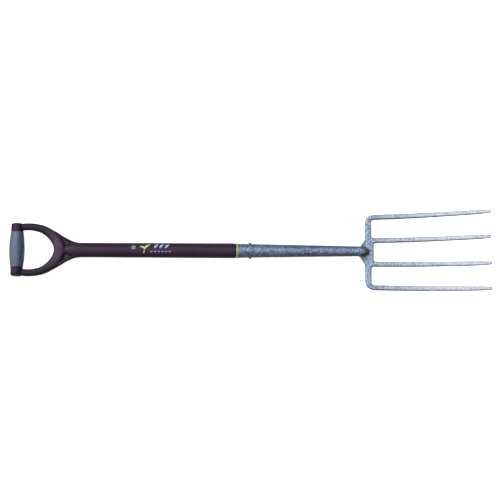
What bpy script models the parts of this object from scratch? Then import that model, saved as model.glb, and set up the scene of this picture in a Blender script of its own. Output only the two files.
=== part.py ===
"""Garden digging fork: four-tine forged head, long tapered socket, sleeved tubular shaft and D handle.

Metres, +Z up. The fork lies on its back, as it would on a bench: +X runs from the handle to the
tine tips, Y runs across the tines and +Z is the front of the fork, the hollow side of its curve.
The shaft's axis is parallel to X in the plane Y = 0, and the origin is under the middle of the
fork's length, on the surface that it lies on.
"""

import math

import bmesh
import bpy
from mathutils import Matrix

# Whole fork
LENGTH = 1.020
GAP = 0.0003
ROUND_STEPS = 40
SMALL_STEPS = 24
SMOOTH_ANGLE = math.radians(38)

# Grip: a soft barrel on a cross tube, between two hubs of the D frame
GRIP_RADIUS = 0.0165
GRIP_END_RADIUS = 0.0133
GRIP_HALF = 0.0380
GRIP_X = -LENGTH / 2 + GRIP_RADIUS
AXIS_Z = GRIP_RADIUS
CORE_RADIUS = 0.0090
CORE_WALL = 0.0018
HUB_RADIUS = 0.0130
HUB_INNER = GRIP_HALF + GAP
HUB_OUTER = 0.0528
CAP_RADIUS = 0.0127
CAP_OUTER = 0.0560
CAP_ROUND = 0.0022
CAP_PLUG_END = 0.0430

# D frame: a loop, a round neck and a thin web with rims between them
LOOP_HALF = (  # centre line from hub to crown, as (x, y, radius)
    (-0.4860, 0.0491, 0.0073),
    (-0.4570, 0.0485, 0.0076),
    (-0.4307, 0.0396, 0.0090),
    (-0.4078, 0.0156, 0.0116),
)
LOOP_CROWN = (-0.4036, 0, 0.0125)
LOOP_DEPTH_RATIO = 1.15
LOOP_SQUARENESS = 2.8  # 2 is a round section, and more is flatter on its faces
RIM_CURVE = ((-0.4340, 0.0437), (-0.4085, 0.0432), (-0.3880, 0.0098), (-0.3520, 0.0126))
RIM_RADIUS = 0.0030
RIM_DEPTH_RATIO = 2.7
WEB_INSIDE_LOOP = ((-0.4060, 0.0100), (-0.4185, 0.0280))
WEB_THICKNESS = 0.0070
NECK_RADIUS = 0.0156
NECK_END = -0.3473
NECK_CHAMFER = 0.0005
NECK_SPINE = ((0.0156, -0.3760), (0.0128, -0.3830), (0.0100, -0.3900), (0.0090, -0.4010))

# Handle screw, driven through the neck's back into the tube
SCREW_X = -0.3600
SCREW_HEAD_RADIUS = 0.0036
SCREW_SHANK = 0.0018
SCREW_SUNK = 0.0002
SCREW_CONE = 0.0019
SCREW_END_Z = 0.0100
SCREW_POINT = 0.0025
SCREW_RECESS = (0.0036, 0.0009, 0.0024)
SCREW_HEAD_Z = AXIS_Z - NECK_RADIUS + SCREW_SUNK

# Shaft
TUBE_RADIUS = 0.0128
TUBE_WALL = 0.0015
TUBE_START = -0.3735
TUBE_TAPER_START = 0.0
TUBE_END = 0.0600
TUBE_END_RADIUS = 0.0115
SLEEVE_START = -0.3470
SLEEVE_END = -0.0300
SLEEVE_START_RADIUS = 0.0155
SLEEVE_END_RADIUS = 0.0159
COLLAR_END = -0.0253
COLLAR_RADIUS = 0.0160
PLUG_RADIUS = 0.0105
PLUG_HALF = 0.0180

# Socket and rivet
SOCKET_START = -0.0250
SOCKET_END = 0.2285
SOCKET_RADIUS = 0.01575
SOCKET_END_RADIUS = 0.01065
SOCKET_WALL = 0.0020
RIVET_X = -0.0007
RIVET_RADIUS = 0.0025
RIVET_HEAD_RADIUS = 0.0036
RIVET_HEAD_HEIGHT = 0.0018

# Head: a crossbar with four tines, cranked back from the shaft's axis
WELD_START = SOCKET_END + GAP
WELD_END = WELD_START + 0.0027
HEAD_START = WELD_END + GAP
BAR_START = 0.2442
OUTER_GAP_X = 0.2576
MIDDLE_GAP_X = 0.2625
BAR_THICKNESS = 0.0100
BAR_CORNER = 0.0190
EDGE_ROUND = 0.0024
ROOT_FILLET = 0.0048
FLARE = ((0.2330, 0.0108, 0.0020), (BAR_START, 0.0270, 0.0120))  # corners, as (x, y, radius)
TIP_X = LENGTH / 2
TINE_BASE_Y = (0.0256, 0.0758)
TINE_TIP_Y = (0.0287, 0.0831)
TINE_BASE_HALF = 0.0051
TINE_TIP_HALF = 0.0044
POINT_START = 0.4780
POINT_WIDTH = 0.74  # of the tine's width that is left at its tip
POINT_DEPTH = 0.50  # of its thickness
TIP_RISE = 0.0385
TINE_THINNING = 0.20
NECK_RISE = 0.0052
CRANK = (  # tongue from shoulder to crossbar, as (x past the shoulder, drop from the axis, radius)
    (0.0022, 0, 0.0102),
    (0.0065, 0.0005, 0.0090),
    (0.0125, 0.0036, 0.0066),
    (0.0210, 0.0108, 0.0036),
)
SPIGOT_RADIUS = 0.0083
SPIGOT_START = 0.2050


def srgb(red, green, blue):
    """Linear colour of three 8-bit sRGB values."""
    return [((value / 255 + 0.055) / 1.055) ** 2.4 for value in (red, green, blue)] + [1.0]


def material(name, colour, roughness, metallic=0.0):
    made = bpy.data.materials.new(name)
    made.use_nodes = True
    shader = made.node_tree.nodes["Principled BSDF"]
    shader.inputs["Base Color"].default_value = srgb(*colour)
    shader.inputs["Roughness"].default_value = roughness
    shader.inputs["Metallic"].default_value = metallic
    made.diffuse_color = srgb(*colour)
    return made


def add(mesh, name, place):
    made = bpy.data.objects.new(name, mesh)
    place.objects.link(made)
    return made


def to_mesh(source):
    """Replaces an object by a mesh object of its evaluated shape, in world coordinates."""
    bpy.context.view_layer.update()
    graph = bpy.context.evaluated_depsgraph_get()
    mesh = bpy.data.meshes.new_from_object(source.evaluated_get(graph))
    mesh.transform(source.matrix_world)
    work = bmesh.new()
    work.from_mesh(mesh)
    bmesh.ops.remove_doubles(work, verts=work.verts, dist=1e-6)
    bmesh.ops.recalc_face_normals(work, faces=work.faces)
    work.to_mesh(mesh)
    work.free()
    name = source.name
    place = source.users_collection[0]
    bpy.data.objects.remove(source)
    return add(mesh, name, place)


def turned(name, profile, direction, place, steps=ROUND_STEPS, closed=True):
    """A profile of (radius, height) spun about the shaft's axis, the grip's axis or an upright one.

    The profile runs down the outer side, from the greatest height to the least. A closed one
    comes back up the bore, and an open one starts and ends on the axis.
    """
    mesh = bpy.data.meshes.new(name)
    points = [(radius, 0, height) for radius, height in profile]
    edges = [(index, index + 1) for index in range(len(points) - 1)]
    if closed:
        edges.append((len(points) - 1, 0))
    mesh.from_pydata(points, edges, [])
    made = add(mesh, name, place)
    screw = made.modifiers.new("Screw", "SCREW")
    screw.axis = "Z"
    screw.steps = steps
    screw.render_steps = steps
    screw.use_merge_vertices = True
    screw.merge_threshold = 1e-5
    made.matrix_world = direction
    return made


def along_shaft():
    """Heights become X, on the shaft's axis."""
    return Matrix.Translation((0, 0, AXIS_Z)) @ Matrix.Rotation(math.pi / 2, 4, "Y")


def along_y(x):
    """Heights become Y, on a cross axis at this X."""
    return Matrix.Translation((x, 0, AXIS_Z)) @ Matrix.Rotation(-math.pi / 2, 4, "X")


def upright(x):
    """Heights become Z, measured from the floor, on an upright axis at this X."""
    return Matrix.Translation((x, 0, 0))


def rounded(outer, top, radius, count=4):
    """Quarter round from a flat top at this height to a side at this radius."""
    angles = [math.pi / 2 * index / count for index in range(count + 1)]
    return [
        (outer - radius + radius * math.sin(a), top - radius + radius * math.cos(a)) for a in angles
    ]


def lower(points, middle=0.0):
    """The same points mirrored in height about the middle, in the order that keeps going down."""
    return [(radius, 2 * middle - height) for radius, height in reversed(points)]


def bezier(start, start_pull, end_pull, end, count):
    """Points on a cubic Bezier curve, as (x, y)."""
    found = []
    for index in range(count + 1):
        t = index / count
        weights = ((1 - t) ** 3, 3 * t * (1 - t) ** 2, 3 * t * t * (1 - t), t**3)
        corners = (start, start_pull, end_pull, end)
        found.append(tuple(sum(w * c[i] for w, c in zip(weights, corners)) for i in (0, 1)))
    return found


def fillet(corner, before, after, radius, count=5):
    """The arc that rounds a corner between the directions to two other points."""
    x, y = corner
    arms = []
    for other in (before, after):
        span = math.dist(corner, other)
        arms.append(((other[0] - x) / span, (other[1] - y) / span))
    cosine = arms[0][0] * arms[1][0] + arms[0][1] * arms[1][1]
    half = math.acos(max(-1.0, min(1.0, cosine))) / 2
    middle = [a + b for a, b in zip(*arms)]
    reach = radius / math.sin(half) / math.hypot(*middle)
    centre = (x + middle[0] * reach, y + middle[1] * reach)
    back = radius / math.tan(half)
    first, last = [(x + arm[0] * back, y + arm[1] * back) for arm in arms]
    start = math.atan2(first[1] - centre[1], first[0] - centre[0])
    sweep = math.atan2(last[1] - centre[1], last[0] - centre[0]) - start
    sweep = (sweep + math.pi) % (2 * math.pi) - math.pi
    angles = [start + sweep * index / count for index in range(count + 1)]
    return [(centre[0] + radius * math.cos(a), centre[1] + radius * math.sin(a)) for a in angles]


def rounded_outline(corners):
    """Corners of (x, y, radius) as plain points, each with a radius above zero made an arc."""
    points = []
    for index, (x, y, radius) in enumerate(corners):
        if radius:
            before = corners[index - 1][:2]
            after = corners[(index + 1) % len(corners)][:2]
            points += fillet((x, y), before, after, radius)
        else:
            points.append((x, y))
    return points


def plate(name, points, bottom, thickness, place, edge=0.0):
    """A flat outline with a thickness, its edges rounded inside the outline."""
    curve = bpy.data.curves.new(name, "CURVE")
    curve.dimensions = "2D"
    curve.fill_mode = "BOTH"
    curve.extrude = thickness / 2 - edge
    curve.bevel_depth = edge
    curve.bevel_resolution = 2
    curve.offset = -edge
    spline = curve.splines.new("POLY")
    spline.points.add(len(points) - 1)
    spline.use_cyclic_u = True
    for point, (x, y) in zip(spline.points, points):
        point.co = (x, y, 0, 1)
    made = add(curve, name, place)
    made.location.z = bottom + thickness / 2
    return to_mesh(made)


def squared_section(name, squareness, place, count=32):
    """The outline of a section between a circle and a square."""
    curve = bpy.data.curves.new(name, "CURVE")
    curve.dimensions = "2D"
    spline = curve.splines.new("POLY")
    spline.points.add(count - 1)
    spline.use_cyclic_u = True
    for index, point in enumerate(spline.points):
        turn = 2 * math.pi * index / count
        across, up = math.cos(turn), math.sin(turn)
        x = math.copysign(abs(across) ** (2 / squareness), across)
        y = math.copysign(abs(up) ** (2 / squareness), up)
        point.co = (GRIP_RADIUS * x, GRIP_RADIUS * y, 0, 1)
    return add(curve, name, place)


def swept(name, route, depth_ratio, place, sides=4, steps=6, section=None):
    """A tapering bar through points of (x, y, z, radius), deeper than wide by the ratio."""
    curve = bpy.data.curves.new(name, "CURVE")
    curve.dimensions = "3D"
    curve.bevel_depth = GRIP_RADIUS
    curve.bevel_resolution = sides
    if section is not None:
        curve.bevel_mode = "OBJECT"
        curve.bevel_object = section
    curve.resolution_u = steps
    curve.use_fill_caps = True
    curve.twist_mode = "Z_UP"
    spline = curve.splines.new("BEZIER")
    spline.radius_interpolation = "CARDINAL"
    spline.bezier_points.add(len(route) - 1)
    for point, (x, y, z, radius) in zip(spline.bezier_points, route):
        point.co = (x, y, z / depth_ratio)
        point.radius = radius / GRIP_RADIUS
        point.handle_left_type = "AUTO"
        point.handle_right_type = "AUTO"
    made = add(curve, name, place)
    made.scale.z = depth_ratio
    return to_mesh(made)


def helper(made):
    """Marks an object as a tool of a Boolean, seen as wire and left out of a render."""
    made.hide_render = True
    made.display_type = "WIRE"
    return made


def combine(target, tool, operation, solver="EXACT"):
    boolean = target.modifiers.new(f"{operation} {tool.name}", "BOOLEAN")
    boolean.operation = operation
    boolean.solver = solver
    boolean.object = helper(tool)


def finish(made, look):
    """Settles an object's modifiers into its mesh, smooths its round faces and colours it."""
    made = to_mesh(made)
    made.data.shade_smooth()
    made.data.set_sharp_from_angle(angle=SMOOTH_ANGLE)
    made.data.materials.clear()
    made.data.materials.append(look)
    return made


def rod(name, radius, ends, direction, place, steps=ROUND_STEPS):
    """A plain cylinder between two heights, as a tool for a Boolean."""
    profile = [(0, max(ends)), (radius, max(ends)), (radius, min(ends)), (0, min(ends))]
    return turned(name, profile, direction, place, steps, closed=False)


def socket_radius(x):
    """Outer radius of the tapered socket at this X."""
    part = (x - SOCKET_START) / (SOCKET_END - SOCKET_START)
    return SOCKET_RADIUS + part * (SOCKET_END_RADIUS - SOCKET_RADIUS)


# Grip and D frame


def build_grip_sleeve(parts, look):
    """Soft barrel, fullest in the middle, with a small raised lip at each end."""
    lip = 0.0016
    lip_height = 0.0004
    swell = GRIP_RADIUS - GRIP_END_RADIUS
    barrel = []
    for index in range(11):
        height = (GRIP_HALF - lip) * (1 - index / 5)
        fullness = math.cos(math.pi / 2 * height / (GRIP_HALF - lip)) ** 0.8
        barrel.append((GRIP_END_RADIUS + swell * fullness, height))
    top = rounded(GRIP_END_RADIUS + lip_height, GRIP_HALF, 0.0006, 2)
    top.append((GRIP_END_RADIUS + lip_height, GRIP_HALF - lip + 0.0003))
    bore = CORE_RADIUS + GAP
    profile = top + barrel + lower(top) + [(bore, -GRIP_HALF), (bore, GRIP_HALF)]
    finish(turned("grip_sleeve", profile, along_y(GRIP_X), parts), look)


def build_grip_core_tube(parts, look):
    """Cross tube that carries the barrel and joins the two hubs."""
    half = HUB_OUTER - GAP
    bore = CORE_RADIUS - CORE_WALL
    profile = [(CORE_RADIUS, half), (CORE_RADIUS, -half), (bore, -half), (bore, half)]
    finish(turned("grip_core_tube", profile, along_y(GRIP_X), parts, 32), look)


def build_end_cap(name, side, parts, look):
    """Flat cap over a hub's end, with a plug in the cross tube."""
    plug = CORE_RADIUS - CORE_WALL - GAP
    seat = HUB_OUTER + GAP
    lead = 0.0010
    profile = [(0, CAP_OUTER)] + rounded(CAP_RADIUS, CAP_OUTER, CAP_ROUND)
    profile += [(CAP_RADIUS, seat), (plug, seat), (plug, CAP_PLUG_END + lead)]
    profile += [(plug - lead, CAP_PLUG_END), (0, CAP_PLUG_END)]
    made = turned(name, profile, along_y(GRIP_X), parts, 32, closed=False)
    if side < 0:
        made.matrix_world = made.matrix_world @ Matrix.Rotation(math.pi, 4, "X")
    finish(made, look)


def frame_loop(tools):
    """The D itself: two arms that widen into the crown."""
    other_half = [(x, -y, radius) for x, y, radius in reversed(LOOP_HALF)]
    route = [*LOOP_HALF, LOOP_CROWN, *other_half]
    points = [(x, y, AXIS_Z, radius) for x, y, radius in route]
    section = squared_section("loop_section", LOOP_SQUARENESS, tools)
    loop = swept("frame_loop", points, LOOP_DEPTH_RATIO, tools, section=section)
    bpy.data.objects.remove(section)
    return loop


def frame_rims(tools):
    """Two thin ribs that carry the outline from the arms to the neck, and the web between them."""
    edge = bezier(*RIM_CURVE, 7)
    rims = []
    for side, name in ((1, "rim_left"), (-1, "rim_right")):
        points = [(x, side * y, AXIS_Z, RIM_RADIUS) for x, y in edge]
        rims.append(swept(name, points, RIM_DEPTH_RATIO, tools, sides=2, steps=2))
    half = [*WEB_INSIDE_LOOP, *edge]
    outline = half + [(x, -y) for x, y in reversed(half)]
    web = plate("frame_web", outline, AXIS_Z - WEB_THICKNESS / 2, WEB_THICKNESS, tools)
    return rims + [web]


def build_d_frame(parts, tools, look):
    """One moulding: hubs, arms, crown, web and a neck that takes the shaft's tube.

    Its hubs, arms and cap seats share many nearly equal faces, where EXACT leaves open edges.
    """
    neck = [(0, NECK_END), (NECK_RADIUS - NECK_CHAMFER, NECK_END)]
    neck += [(NECK_RADIUS, NECK_END - NECK_CHAMFER), *NECK_SPINE, (0, NECK_SPINE[-1][1])]
    frame = turned("d_handle_frame", neck, along_shaft(), parts, closed=False)
    grip_axis = along_y(GRIP_X)
    reach = CAP_OUTER + 0.004
    solids = [frame_loop(tools)] + frame_rims(tools)
    cuts = []
    for side, name in ((1, "left"), (-1, "right")):
        hub = (side * HUB_INNER, side * (HUB_OUTER + 0.002))
        solids.append(rod(f"hub_{name}", HUB_RADIUS, hub, grip_axis, tools))
        seat = (side * HUB_OUTER, side * reach)
        cuts.append(rod(f"cap_seat_{name}", CAP_RADIUS + 2 * GAP, seat, grip_axis, tools))
    cuts.append(rod("grip_bore", CORE_RADIUS + GAP, (-reach, reach), grip_axis, tools))
    ends = (TUBE_START - GAP, NECK_END + 0.010)
    cuts.append(rod("tube_bore", TUBE_RADIUS + GAP, ends, along_shaft(), tools))
    cuts.append(screw_hole(tools))
    for solid in solids:
        combine(frame, solid, "UNION", "MANIFOLD")
    for cut in cuts:
        combine(frame, cut, "DIFFERENCE", "MANIFOLD")
    finish(frame, look)


def screw_hole(tools):
    """Countersunk hole through the neck's back wall and the tube's."""
    shank = SCREW_SHANK + GAP
    head = SCREW_HEAD_RADIUS + GAP
    cone_top = SCREW_HEAD_Z + SCREW_CONE + GAP
    profile = [(0, SCREW_END_Z), (shank, SCREW_END_Z), (shank, cone_top), (head, SCREW_HEAD_Z)]
    profile += [(head, -0.002), (0, -0.002)]
    return turned("screw_hole", profile, upright(SCREW_X), tools, SMALL_STEPS, closed=False)


def build_handle_screw(parts, tools, look):
    """Countersunk self-tapping screw with a cross recess, driven from the back."""
    edge = 0.0002
    profile = [(0, SCREW_END_Z), (SCREW_SHANK * 0.3, SCREW_END_Z - edge)]
    profile += [(SCREW_SHANK, SCREW_END_Z - SCREW_POINT), (SCREW_SHANK, SCREW_HEAD_Z + SCREW_CONE)]
    profile += [(SCREW_HEAD_RADIUS, SCREW_HEAD_Z + edge), (SCREW_HEAD_RADIUS - edge, SCREW_HEAD_Z)]
    profile += [(0, SCREW_HEAD_Z)]
    screw = turned("handle_screw", profile, upright(SCREW_X), parts, SMALL_STEPS, closed=False)
    for turn in (0, 1):
        mesh = bpy.data.meshes.new(f"recess_{turn}")
        work = bmesh.new()
        bmesh.ops.create_cube(work, size=1, matrix=Matrix.Diagonal((*SCREW_RECESS, 1)))
        work.to_mesh(mesh)
        work.free()
        tool = add(mesh, f"recess_{turn}", tools)
        tool.location = (SCREW_X, 0, SCREW_HEAD_Z)
        tool.rotation_euler.z = turn * math.pi / 2
        combine(screw, tool, "DIFFERENCE")
    finish(screw, look)


# Shaft


def build_shaft_tube(parts, tools, rivet_hole, look):
    """Steel tube from the D frame's neck into the socket, drawn down where the socket narrows."""
    profile = [
        (TUBE_END_RADIUS, TUBE_END),
        (TUBE_RADIUS, TUBE_TAPER_START),
        (TUBE_RADIUS, TUBE_START),
        (TUBE_RADIUS - TUBE_WALL, TUBE_START),
        (TUBE_RADIUS - TUBE_WALL, TUBE_TAPER_START),
        (TUBE_END_RADIUS - TUBE_WALL, TUBE_END),
    ]
    tube = turned("shaft_tube", profile, along_shaft(), parts)
    combine(tube, rivet_hole, "DIFFERENCE")
    combine(tube, bpy.data.objects["screw_hole"], "DIFFERENCE")
    finish(tube, look)


def build_shaft_sleeve(parts, look):
    """Plastic sleeve over the tube, with a narrow step where the collar ring follows."""
    step = 0.0011
    step_length = 0.0018
    chamfer = 0.0004
    bore = TUBE_RADIUS + GAP
    profile = [
        (SLEEVE_END_RADIUS - step, SLEEVE_END),
        (SLEEVE_END_RADIUS - step, SLEEVE_END - step_length),
        (SLEEVE_END_RADIUS - chamfer, SLEEVE_END - step_length),
        (SLEEVE_END_RADIUS, SLEEVE_END - step_length - chamfer),
        (SLEEVE_START_RADIUS, SLEEVE_START + chamfer),
        (SLEEVE_START_RADIUS - chamfer, SLEEVE_START),
        (bore, SLEEVE_START),
        (bore, SLEEVE_END),
    ]
    finish(turned("shaft_sleeve", profile, along_shaft(), parts), look)


def build_collar_ring(parts, look):
    """Bright ring between the sleeve and the socket's mouth."""
    start = SLEEVE_END + GAP
    middle = (start + COLLAR_END) / 2
    top = rounded(COLLAR_RADIUS, COLLAR_END, 0.0008, 2)
    bore = TUBE_RADIUS + GAP
    profile = top + lower(top, middle) + [(bore, start), (bore, COLLAR_END)]
    finish(turned("collar_ring", profile, along_shaft(), parts), look)


def build_shaft_plug(parts, rivet_hole, look):
    """Solid plug that keeps the tube from crushing when the rivet is set."""
    chamfer = 0.0010
    end = [(0, PLUG_HALF), (PLUG_RADIUS - chamfer, PLUG_HALF), (PLUG_RADIUS, PLUG_HALF - chamfer)]
    plug = turned("shaft_plug", end + lower(end), along_shaft(), parts, 32, closed=False)
    combine(plug, rivet_hole, "DIFFERENCE")
    finish(plug, look)


# Socket, rivet and weld


def build_head_socket(parts, rivet_hole, look):
    """Long tapered tube, open at both ends, drilled across for the rivet."""
    lip = 0.0007
    profile = [(SOCKET_END_RADIUS, SOCKET_END)]
    profile += [(SOCKET_RADIUS, SOCKET_START + lip), (SOCKET_RADIUS - lip, SOCKET_START)]
    profile += [(SOCKET_RADIUS - SOCKET_WALL, SOCKET_START), (SOCKET_END_RADIUS - SOCKET_WALL, SOCKET_END)]
    socket = turned("head_socket", profile, along_shaft(), parts)
    combine(socket, rivet_hole, "DIFFERENCE")
    finish(socket, look)


def build_socket_rivet(parts, look):
    """Round-headed rivet through socket, tube and plug."""
    seat = socket_radius(RIVET_X) + GAP
    head = [(0, seat + RIVET_HEAD_HEIGHT)]
    for index in range(1, 5):
        angle = math.pi / 2 * index / 4
        height = seat + 0.0004 + (RIVET_HEAD_HEIGHT - 0.0004) * math.cos(angle)
        head.append((RIVET_HEAD_RADIUS * math.sin(angle), height))
    head += [(RIVET_HEAD_RADIUS, seat), (RIVET_RADIUS, seat)]
    finish(turned("socket_rivet", head + lower(head), along_y(RIVET_X), parts, SMALL_STEPS, False), look)


def build_neck_weld(parts, look):
    """Weld bead round the joint between the socket and the head's neck."""
    bulge = 0.0004
    bore = SPIGOT_RADIUS + GAP
    middle = (WELD_START + WELD_END) / 2
    half = (WELD_END - WELD_START) / 2
    profile = []
    for index in range(4):
        angle = math.pi * index / 3
        radius = SOCKET_END_RADIUS + bulge * math.sin(angle)
        profile.append((radius, middle + half * math.cos(angle)))
    profile += [(bore, WELD_START), (bore, WELD_END)]
    finish(turned("neck_weld", profile, along_shaft(), parts), look)


# Head


def tine_centre(index, x):
    """Centre line of tine 0, next to the middle, or tine 1, the outer one."""
    part = (x - OUTER_GAP_X) / (TIP_X - OUTER_GAP_X)
    return TINE_BASE_Y[index] + part * (TINE_TIP_Y[index] - TINE_BASE_Y[index])


def head_outline():
    """Plan of the crossbar and its tines, with blunt full-width tine ends."""
    half = [(HEAD_START, FLARE[0][1], 0), *FLARE]
    half.append((BAR_START, TINE_BASE_Y[1] + TINE_BASE_HALF, BAR_CORNER))
    tip = TINE_TIP_HALF * 0.7
    for index, inner_gap in ((1, OUTER_GAP_X), (0, MIDDLE_GAP_X)):
        base_y = TINE_BASE_Y[index]
        tip_y = TINE_TIP_Y[index]
        if index == 0:
            half.append((OUTER_GAP_X, base_y + TINE_BASE_HALF, ROOT_FILLET))
        half.append((TIP_X, tip_y + TINE_TIP_HALF, tip))
        half.append((TIP_X, tip_y - TINE_TIP_HALF, tip))
        half.append((inner_gap, base_y - TINE_BASE_HALF, ROOT_FILLET))
    return rounded_outline(half + [(x, -y, radius) for x, y, radius in reversed(half)])


def build_fork_head(parts, tools, look):
    """Forged head: crossbar, four tines, and a neck that steps forward to the shaft's axis."""
    head = plate("fork_head", head_outline(), 0, BAR_THICKNESS, parts, EDGE_ROUND)
    forge(head.data)
    combine(head, head_spigot(tools), "UNION")
    combine(head, head_crank(tools), "UNION")
    finish(head, look)


def forge(mesh):
    """Cuts the flat blank across at even stations, then points its tines and curves them forward."""
    work = bmesh.new()
    work.from_mesh(mesh)
    tine_step = 0.0240
    point_step = 0.0090
    neck_step = 0.0035
    stations = [MIDDLE_GAP_X + tine_step * (index + 0.4) for index in range(9)]
    stations += [POINT_START + point_step * index for index in range(3)]
    stations += [BAR_START - neck_step * index for index in range(3)]
    for x in stations:
        everything = work.verts[:] + work.edges[:] + work.faces[:]
        bmesh.ops.bisect_plane(work, geom=everything, dist=1e-7, plane_co=(x, 0, 0), plane_no=(1, 0, 0))
    for vert in work.verts:
        vert.co = forged(*vert.co)
    work.to_mesh(mesh)
    work.free()


def forged(x, y, z):
    """Where a point of the flat blank ends up in the finished head."""
    middle = BAR_THICKNESS / 2
    depth = 1.0
    rise = 0.0
    if x > POINT_START:
        part = (x - POINT_START) / (TIP_X - POINT_START)
        scale = 1 - (1 - POINT_WIDTH) * part**1.6
        index = 1 if abs(y) > (TINE_TIP_Y[0] + TINE_TIP_Y[1]) / 2 else 0
        centre = math.copysign(tine_centre(index, x), y)
        y = centre + (y - centre) * scale
        depth = 1 - (1 - POINT_DEPTH) * part**1.6
    if x > MIDDLE_GAP_X:
        part = (x - MIDDLE_GAP_X) / (TIP_X - MIDDLE_GAP_X)
        rise = TIP_RISE * part**1.7
        depth *= 1 - TINE_THINNING * part
    if x < BAR_START:
        part = (BAR_START - x) / (BAR_START - HEAD_START)
        rise = NECK_RISE * part**1.3
    return (x, y, middle + rise + (z - middle) * depth)


def head_spigot(tools):
    """Round shoulder on the shaft's axis, with the spigot that the socket is fitted over."""
    lead = 0.0012
    shoulder = SOCKET_END_RADIUS - 0.0002
    shoulder_length = 0.0060
    profile = [
        (0, HEAD_START + shoulder_length),
        (shoulder * 0.8, HEAD_START + shoulder_length),
        (shoulder, HEAD_START + shoulder_length * 0.4),
        (shoulder, HEAD_START),
        (SPIGOT_RADIUS, HEAD_START),
        (SPIGOT_RADIUS, SPIGOT_START + lead),
        (SPIGOT_RADIUS - lead, SPIGOT_START),
        (0, SPIGOT_START),
    ]
    return turned("head_spigot", profile, along_shaft(), tools, 32, closed=False)


def head_crank(tools):
    """Tapering tongue from the shoulder down into the crossbar."""
    route = [(HEAD_START + x, 0, AXIS_Z - drop, radius) for x, drop, radius in CRANK]
    return swept("head_crank", route, 1.0, tools, sides=5, steps=4)


def main():
    for old in list(bpy.data.objects):
        bpy.data.objects.remove(old)
    parts = bpy.data.collections.new("Digging fork")
    tools = bpy.data.collections.new("Cutters")
    bpy.context.scene.collection.children.link(parts)
    bpy.context.scene.collection.children.link(tools)

    dark_plastic = material("dark_handle_plastic", (66, 54, 68), 0.42)
    cap_plastic = material("end_cap_plastic", (60, 52, 63), 0.45)
    sleeve_plastic = material("dark_sleeve_plastic", (58, 47, 61), 0.36)
    grip_rubber = material("grey_grip_rubber", (98, 114, 138), 0.62)
    collar_plastic = material("lime_collar_plastic", (168, 182, 112), 0.40)
    hammered = material("hammered_socket_enamel", (121, 137, 161), 0.34, 0.35)
    head_enamel = material("hammered_head_enamel", (172, 186, 206), 0.32, 0.35)
    weld_enamel = material("weld_enamel", (118, 132, 154), 0.40, 0.35)
    tube_steel = material("tube_steel", (150, 152, 156), 0.40, 1.0)
    rivet_steel = material("rivet_steel", (92, 96, 102), 0.38, 1.0)
    screw_steel = material("screw_steel", (170, 170, 166), 0.30, 1.0)
    plug_wood = material("plug_wood", (176, 140, 96), 0.75)

    build_grip_sleeve(parts, grip_rubber)
    build_grip_core_tube(parts, tube_steel)
    build_end_cap("grip_end_cap_left", 1, parts, cap_plastic)
    build_end_cap("grip_end_cap_right", -1, parts, cap_plastic)
    build_d_frame(parts, tools, dark_plastic)
    build_handle_screw(parts, tools, screw_steel)
    across = (-2 * GRIP_RADIUS, 2 * GRIP_RADIUS)
    rivet_hole = rod("rivet_hole", RIVET_RADIUS + GAP, across, along_y(RIVET_X), tools, SMALL_STEPS)
    build_shaft_tube(parts, tools, rivet_hole, tube_steel)
    build_shaft_sleeve(parts, sleeve_plastic)
    build_collar_ring(parts, collar_plastic)
    build_shaft_plug(parts, rivet_hole, plug_wood)
    build_head_socket(parts, rivet_hole, hammered)
    build_socket_rivet(parts, rivet_steel)
    build_neck_weld(parts, weld_enamel)
    build_fork_head(parts, tools, head_enamel)


main()
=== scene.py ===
"""Looks of the garden digging fork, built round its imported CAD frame.

The frame's axes: +X from the handle to the tips, Y across the tines, +Z the front of the fork.
Lengths are in metres and colours are 8-bit sRGB values.
"""

import math
from collections import namedtuple

import bmesh
import bpy
import numpy as np
from mathutils import Matrix, Vector


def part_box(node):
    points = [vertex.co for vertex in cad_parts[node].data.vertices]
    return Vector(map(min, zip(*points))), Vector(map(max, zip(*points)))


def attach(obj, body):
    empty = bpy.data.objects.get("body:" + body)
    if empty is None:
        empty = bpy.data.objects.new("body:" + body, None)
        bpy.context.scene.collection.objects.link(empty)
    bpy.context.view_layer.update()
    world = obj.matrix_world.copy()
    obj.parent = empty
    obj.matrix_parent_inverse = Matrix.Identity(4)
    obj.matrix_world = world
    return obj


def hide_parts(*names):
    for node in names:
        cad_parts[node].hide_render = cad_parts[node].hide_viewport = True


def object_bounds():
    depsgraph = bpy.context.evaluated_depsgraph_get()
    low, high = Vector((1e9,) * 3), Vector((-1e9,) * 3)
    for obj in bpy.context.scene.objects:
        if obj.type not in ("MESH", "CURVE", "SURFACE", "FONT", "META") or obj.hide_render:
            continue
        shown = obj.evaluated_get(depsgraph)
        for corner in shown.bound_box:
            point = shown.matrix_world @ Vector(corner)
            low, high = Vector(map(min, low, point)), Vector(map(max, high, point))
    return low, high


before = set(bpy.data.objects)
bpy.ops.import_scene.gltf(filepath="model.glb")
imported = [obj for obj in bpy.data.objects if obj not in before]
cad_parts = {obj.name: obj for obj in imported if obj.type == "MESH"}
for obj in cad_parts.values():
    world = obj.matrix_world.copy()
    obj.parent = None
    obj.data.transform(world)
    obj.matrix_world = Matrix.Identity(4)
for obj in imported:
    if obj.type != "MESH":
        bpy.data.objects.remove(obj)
CAD_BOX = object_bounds()

CENTRE = (CAD_BOX[0] + CAD_BOX[1]) / 2
SLEEVE_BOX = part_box("shaft_sleeve")
GRIP_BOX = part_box("grip_sleeve")
AXIS_Z = (SLEEVE_BOX[0].z + SLEEVE_BOX[1].z) / 2
GRIP_X = (GRIP_BOX[0].x + GRIP_BOX[1].x) / 2
SHAFT_LINE = (0, 0, AXIS_Z)
GRIP_LINE = (GRIP_X, 0, AXIS_Z)

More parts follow.
